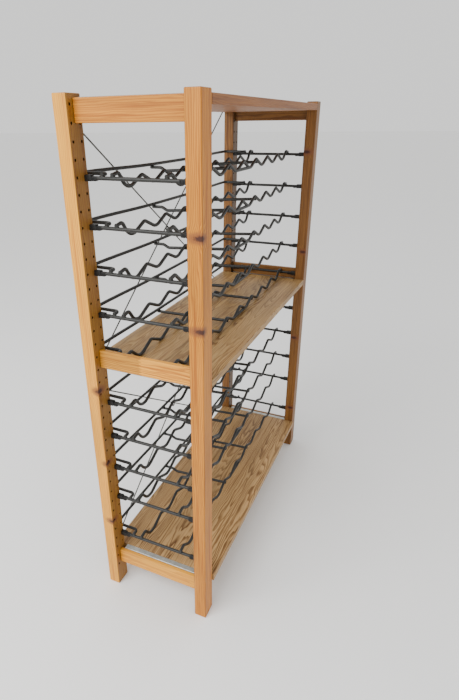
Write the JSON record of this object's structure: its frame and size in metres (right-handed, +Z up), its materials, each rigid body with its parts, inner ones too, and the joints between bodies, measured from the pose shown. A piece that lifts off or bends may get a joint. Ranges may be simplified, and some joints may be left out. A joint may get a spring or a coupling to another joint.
{
  "type": "wine rack",
  "caption": "Free-standing pine shelving bay with ladder ends, boards between, wavy wire bottle racks pegged into rows of holes, and crossed rods bracing the open back.",
  "frame": {"origin": "on the floor under the middle of the overall box", "axes": "+Z up; X along the shelves; -Y is the open front, where bottles go in; +Y is the braced back"},
  "size_m": [0.89, 0.3139, 1.24],
  "materials": {
    "frame_pine": "honey-toned clear lacquer",
    "shelf_pine": "clear lacquer on glued pine staves",
    "zinc_steel": "dull zinc plating",
    "coated_wire": "satin charcoal coating",
    "brace_steel": "darkened zinc plating"
  },
  "bodies": {
    "root": {"post_front_left": "frame_pine", "post_front_right": "frame_pine", "post_back_left": "frame_pine", "post_back_right": "frame_pine", "rung_top_left": "frame_pine", "rung_top_right": "frame_pine", "rung_middle_left": "frame_pine", "rung_middle_right": "frame_pine", "rung_bottom_left": "frame_pine", "rung_bottom_right": "frame_pine", "shelf_top": "shelf_pine", "shelf_middle": "shelf_pine", "shelf_bottom": "shelf_pine", "shelf_end_profile_top_left": "zinc_steel", "shelf_end_profile_top_right": "zinc_steel", "shelf_end_profile_middle_left": "zinc_steel", "shelf_end_profile_middle_right": "zinc_steel", "shelf_end_profile_bottom_left": "zinc_steel", "shelf_end_profile_bottom_right": "zinc_steel", "shelf_pin_top_front_left": "zinc_steel", "shelf_pin_top_front_right": "zinc_steel", "shelf_pin_top_back_left": "zinc_steel", "shelf_pin_top_back_right": "zinc_steel", "shelf_pin_middle_front_left": "zinc_steel", "shelf_pin_middle_front_right": "zinc_steel", "shelf_pin_middle_back_left": "zinc_steel", "shelf_pin_middle_back_right": "zinc_steel", "shelf_pin_bottom_front_left": "zinc_steel", "shelf_pin_bottom_front_right": "zinc_steel", "shelf_pin_bottom_back_left": "zinc_steel", "shelf_pin_bottom_back_right": "zinc_steel", "bottle_rack_01": "coated_wire", "bottle_rack_02": "coated_wire", "bottle_rack_03": "coated_wire", "bottle_rack_04": "coated_wire", "bottle_rack_05": "coated_wire", "bottle_rack_06": "coated_wire", "bottle_rack_07": "coated_wire", "bottle_rack_08": "coated_wire", "bottle_rack_09": "coated_wire", "bottle_rack_10": "coated_wire", "brace_rod_upper_falling": "brace_steel", "brace_rod_upper_rising": "brace_steel", "brace_rod_lower_falling": "brace_steel", "brace_rod_lower_rising": "brace_steel", "brace_ring_upper": "brace_steel", "brace_ring_lower": "brace_steel", "brace_screw_upper_falling_left": "zinc_steel", "brace_screw_upper_falling_right": "zinc_steel", "brace_screw_upper_rising_left": "zinc_steel", "brace_screw_upper_rising_right": "zinc_steel", "brace_screw_lower_falling_left": "zinc_steel", "brace_screw_lower_falling_right": "zinc_steel", "brace_screw_lower_rising_left": "zinc_steel", "brace_screw_lower_rising_right": "zinc_steel"}
  },
  "joints": []
}
